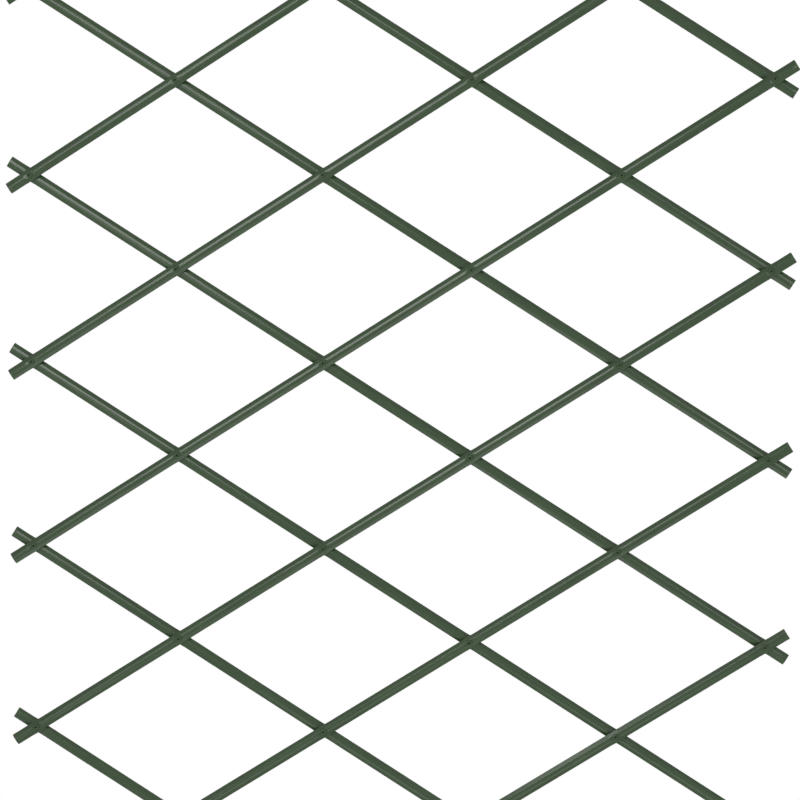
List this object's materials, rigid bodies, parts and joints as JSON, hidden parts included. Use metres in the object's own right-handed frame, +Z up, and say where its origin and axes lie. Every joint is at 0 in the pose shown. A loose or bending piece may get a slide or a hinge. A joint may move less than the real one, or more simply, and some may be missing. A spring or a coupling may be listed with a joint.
{
  "type": "plastic trellis",
  "caption": "Expanding garden trellis: a flat lattice of hollow oval slats in two layers, riveted where they cross, that opens and closes like scissors against a wall.",
  "frame": {"origin": "centre of the flat back end of the fixed rivet, in the plane of the wall", "axes": "+Z up, +X to the right seen from the front, -Y towards the viewer; the wall is the plane y = 0"},
  "size_m": [1.0094, 0.016, 1.6084],
  "materials": {
    "slat_pvc": "extruded, satin, dark green",
    "rivet_nylon": "moulded, satin, dark green"
  },
  "bodies": {
    "fixed_rivet": {"rivet_3_4": "rivet_nylon"},
    "front_slat_5": {"front_slat_5": "slat_pvc", "rivet_1_3": "rivet_nylon", "rivet_2_3": "rivet_nylon", "rivet_4_4": "rivet_nylon", "rivet_5_5": "rivet_nylon", "rivet_6_5": "rivet_nylon"},
    "back_slat_4": {"back_slat_4": "slat_pvc"},
    "back_slat_2": {"back_slat_2": "slat_pvc"},
    "back_slat_3": {"back_slat_3": "slat_pvc"},
    "back_slat_5": {"back_slat_5": "slat_pvc"},
    "back_slat_6": {"back_slat_6": "slat_pvc"},
    "back_slat_7": {"back_slat_7": "slat_pvc"},
    "front_slat_7": {"front_slat_7": "slat_pvc", "rivet_1_5": "rivet_nylon", "rivet_2_5": "rivet_nylon", "rivet_3_6": "rivet_nylon", "rivet_4_6": "rivet_nylon", "rivet_5_7": "rivet_nylon"},
    "front_slat_6": {"front_slat_6": "slat_pvc", "rivet_1_4": "rivet_nylon", "rivet_2_4": "rivet_nylon", "rivet_3_5": "rivet_nylon", "rivet_4_5": "rivet_nylon", "rivet_5_6": "rivet_nylon", "rivet_6_6": "rivet_nylon"},
    "front_slat_4": {"front_slat_4": "slat_pvc", "rivet_1_2": "rivet_nylon", "rivet_2_2": "rivet_nylon", "rivet_3_3": "rivet_nylon", "rivet_4_3": "rivet_nylon", "rivet_5_4": "rivet_nylon", "rivet_6_4": "rivet_nylon"},
    "front_slat_3": {"front_slat_3": "slat_pvc", "rivet_2_1": "rivet_nylon", "rivet_3_2": "rivet_nylon", "rivet_4_2": "rivet_nylon", "rivet_5_3": "rivet_nylon", "rivet_6_3": "rivet_nylon"},
    "front_slat_2": {"front_slat_2": "slat_pvc", "rivet_3_1": "rivet_nylon", "rivet_4_1": "rivet_nylon", "rivet_5_2": "rivet_nylon", "rivet_6_2": "rivet_nylon"},
    "front_slat_1": {"front_slat_1": "slat_pvc", "rivet_5_1": "rivet_nylon", "rivet_6_1": "rivet_nylon"},
    "front_slat_8": {"front_slat_8": "slat_pvc", "rivet_1_6": "rivet_nylon", "rivet_2_6": "rivet_nylon", "rivet_3_7": "rivet_nylon", "rivet_4_7": "rivet_nylon"},
    "front_slat_9": {"front_slat_9": "slat_pvc", "rivet_1_7": "rivet_nylon", "rivet_2_7": "rivet_nylon"},
    "back_slat_8": {"back_slat_8": "slat_pvc"},
    "back_slat_1": {"back_slat_1": "slat_pvc"}
  },
  "joints": [
    {"name": "fold", "type": "hinge", "parent": "fixed_rivet", "child": "front_slat_5", "pos_m": [0, 0, 0], "axis": [0, -1, 0], "range_deg": [-30.2, 55.4]},
    {"name": "back_slat_4_turn", "type": "hinge", "parent": "fixed_rivet", "child": "back_slat_4", "pos_m": [0, 0, 0], "axis": [0, -1, 0], "range_deg": [-55.4, 30.2]},
    {"name": "back_slat_2_turn", "type": "hinge", "parent": "front_slat_5", "child": "back_slat_2", "pos_m": [-0.37826, 0, -0.24005], "axis": [0, -1, 0], "range_deg": [-110.8, 60.4]},
    {"name": "back_slat_3_turn", "type": "hinge", "parent": "front_slat_5", "child": "back_slat_3", "pos_m": [-0.18913, 0, -0.12003], "axis": [0, -1, 0], "range_deg": [-110.8, 60.4]},
    {"name": "back_slat_5_turn", "type": "hinge", "parent": "front_slat_5", "child": "back_slat_5", "pos_m": [0.18913, 0, 0.12003], "axis": [0, -1, 0], "range_deg": [-110.8, 60.4]},
    {"name": "back_slat_6_turn", "type": "hinge", "parent": "front_slat_5", "child": "back_slat_6", "pos_m": [0.37826, 0, 0.24005], "axis": [0, -1, 0], "range_deg": [-110.8, 60.4]},
    {"name": "back_slat_7_turn", "type": "hinge", "parent": "front_slat_5", "child": "back_slat_7", "pos_m": [0.56739, 0, 0.36008], "axis": [0, -1, 0], "range_deg": [-110.8, 60.4]},
    {"name": "front_slat_7_turn", "type": "hinge", "parent": "back_slat_4", "child": "front_slat_7", "pos_m": [-0.37826, 0, 0.24005], "axis": [0, -1, 0], "range_deg": [-60.4, 110.8]},
    {"name": "front_slat_6_turn", "type": "hinge", "parent": "back_slat_4", "child": "front_slat_6", "pos_m": [-0.18913, 0, 0.12003], "axis": [0, -1, 0], "range_deg": [-60.4, 110.8]},
    {"name": "front_slat_4_turn", "type": "hinge", "parent": "back_slat_4", "child": "front_slat_4", "pos_m": [0.18913, 0, -0.12003], "axis": [0, -1, 0], "range_deg": [-60.4, 110.8]},
    {"name": "front_slat_3_turn", "type": "hinge", "parent": "back_slat_4", "child": "front_slat_3", "pos_m": [0.37826, 0, -0.24005], "axis": [0, -1, 0], "range_deg": [-60.4, 110.8]},
    {"name": "front_slat_2_turn", "type": "hinge", "parent": "back_slat_4", "child": "front_slat_2", "pos_m": [0.56739, 0, -0.36008], "axis": [0, -1, 0], "range_deg": [-60.4, 110.8]},
    {"name": "front_slat_1_turn", "type": "hinge", "parent": "back_slat_2", "child": "front_slat_1", "pos_m": [0.37826, 0, -0.72015], "axis": [0, -1, 0], "range_deg": [-60.4, 110.8]},
    {"name": "front_slat_8_turn", "type": "hinge", "parent": "back_slat_5", "child": "front_slat_8", "pos_m": [-0.37826, 0, 0.4801], "axis": [0, -1, 0], "range_deg": [-60.4, 110.8]},
    {"name": "front_slat_9_turn", "type": "hinge", "parent": "back_slat_6", "child": "front_slat_9", "pos_m": [-0.37826, 0, 0.72015], "axis": [0, -1, 0], "range_deg": [-60.4, 110.8]},
    {"name": "back_slat_8_turn", "type": "hinge", "parent": "front_slat_7", "child": "back_slat_8", "pos_m": [0.37826, 0, 0.72015], "axis": [0, -1, 0], "range_deg": [-110.8, 60.4]},
    {"name": "back_slat_1_turn", "type": "hinge", "parent": "front_slat_4", "child": "back_slat_1", "pos_m": [-0.37826, 0, -0.4801], "axis": [0, -1, 0], "range_deg": [-110.8, 60.4]}
  ],
  "couplings": [
    {"joint": "back_slat_4_turn", "follows": "fold", "ratio": -1},
    {"joint": "back_slat_2_turn", "follows": "fold", "ratio": -2},
    {"joint": "back_slat_3_turn", "follows": "fold", "ratio": -2},
    {"joint": "back_slat_5_turn", "follows": "fold", "ratio": -2},
    {"joint": "back_slat_6_turn", "follows": "fold", "ratio": -2},
    {"joint": "back_slat_7_turn", "follows": "fold", "ratio": -2},
    {"joint": "front_slat_7_turn", "follows": "fold", "ratio": 2},
    {"joint": "front_slat_6_turn", "follows": "fold", "ratio": 2},
    {"joint": "front_slat_4_turn", "follows": "fold", "ratio": 2},
    {"joint": "front_slat_3_turn", "follows": "fold", "ratio": 2},
    {"joint": "front_slat_2_turn", "follows": "fold", "ratio": 2},
    {"joint": "front_slat_1_turn", "follows": "fold", "ratio": 2},
    {"joint": "front_slat_8_turn", "follows": "fold", "ratio": 2},
    {"joint": "front_slat_9_turn", "follows": "fold", "ratio": 2},
    {"joint": "back_slat_8_turn", "follows": "fold", "ratio": -2},
    {"joint": "back_slat_1_turn", "follows": "fold", "ratio": -2}
  ]
}
